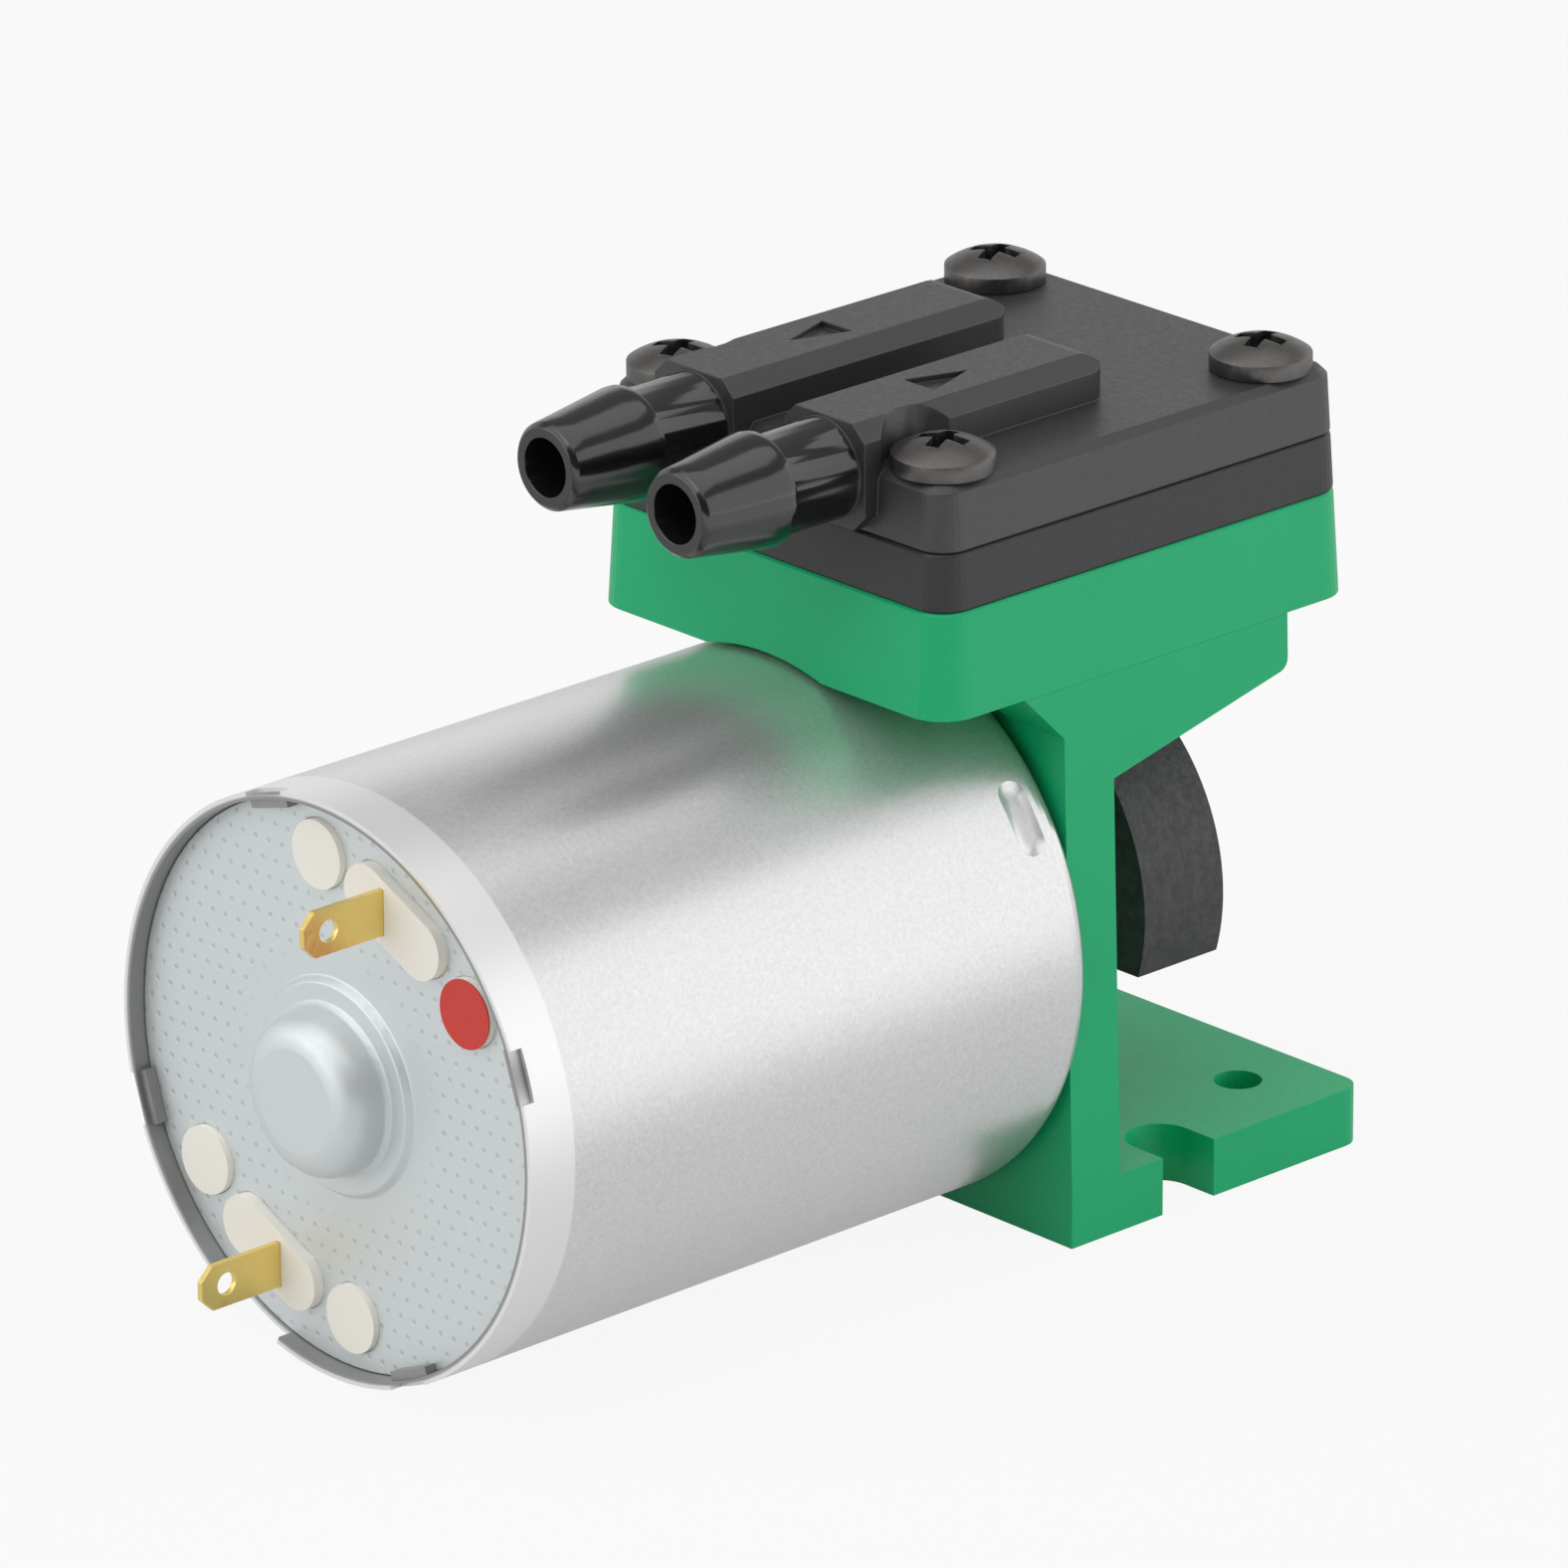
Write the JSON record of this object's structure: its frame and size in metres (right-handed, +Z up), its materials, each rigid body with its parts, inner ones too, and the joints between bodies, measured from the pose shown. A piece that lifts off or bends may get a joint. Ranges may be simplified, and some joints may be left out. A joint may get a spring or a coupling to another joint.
{
  "type": "micro diaphragm vacuum pump",
  "caption": "Micro diaphragm vacuum pump: a brushed motor on a green bracket works a diaphragm under a black valve head with hose barbs on top.",
  "frame": {"origin": "midway between the two foot holes, on the foot's underside", "axes": "+X along the motor axis, from the motor to the crank; +Y across, towards the outlet barb's side; +Z up, from the foot to the pump head"},
  "size_m": [0.0749, 0.0358, 0.0527],
  "materials": {
    "green_plastic": "satin",
    "black_plastic": "matte",
    "black_nickel": "polished",
    "zinc_steel": "satin",
    "plate_steel": "satin",
    "cream_plastic": "satin",
    "white_plastic": "satin",
    "red_paint": "gloss",
    "brass": "satin",
    "copper_alloy": "satin",
    "carbon": "matte",
    "magnet": "matte",
    "spring_steel": "satin",
    "sintered_bronze": "satin",
    "bright_steel": "polished",
    "core_steel": "satin",
    "enamelled_wire": "gloss",
    "black_iron": "matte",
    "black_rubber": "matte",
    "grey_rubber": "matte",
    "brown_rubber": "matte"
  },
  "bodies": {
    "pump": {"bracket": "green_plastic", "valve_plate": "black_plastic", "head_cover": "black_plastic", "head_screws": "black_nickel", "port_seals": "brown_rubber", "inlet_flap": "grey_rubber", "outlet_flap": "grey_rubber", "diaphragm": "black_rubber", "motor_can": "zinc_steel", "end_plate": "plate_steel", "brush_holder": "cream_plastic", "polarity_mark": "red_paint", "terminal_tabs": "brass", "brush_arms": "copper_alloy", "brushes": "carbon", "magnets": "magnet", "magnet_clips": "spring_steel", "front_bush": "sintered_bronze", "rear_bush": "sintered_bronze", "motor_screws": "bright_steel"},
    "rotor": {"motor_shaft": "bright_steel", "armature_core": "core_steel", "armature_winding": "enamelled_wire", "commutator": "copper_alloy", "thrust_washers": "white_plastic", "counterweight": "black_iron", "weight_screw": "black_nickel", "bearing_inner_ring": "bright_steel"},
    "ball_set": {"bearing_balls": "bright_steel", "bearing_cage": "white_plastic"},
    "rod": {"connecting_rod": "white_plastic", "bearing_outer_ring": "bright_steel", "diaphragm_washer": "bright_steel", "diaphragm_screw": "bright_steel"}
  },
  "joints": [
    {"name": "shaft_spin", "type": "hinge", "parent": "pump", "child": "rotor", "pos_m": [-0.0196, 0, 0.018], "axis": [1, 0, 0], "continuous": true, "deforming": ["diaphragm"]},
    {"name": "rod_pivot", "type": "hinge", "parent": "rotor", "child": "rod", "pos_m": [-0.0127, 0, 0.017], "axis": [1, 0, 0], "continuous": true},
    {"name": "ball_orbit", "type": "hinge", "parent": "rotor", "child": "ball_set", "pos_m": [-0.0127, 0, 0.017], "axis": [1, 0, 0], "continuous": true}
  ],
  "couplings": [
    {"joint": "rod_pivot", "follows": "shaft_spin", "ratio": -1},
    {"joint": "ball_orbit", "follows": "shaft_spin", "ratio": -0.595}
  ]
}
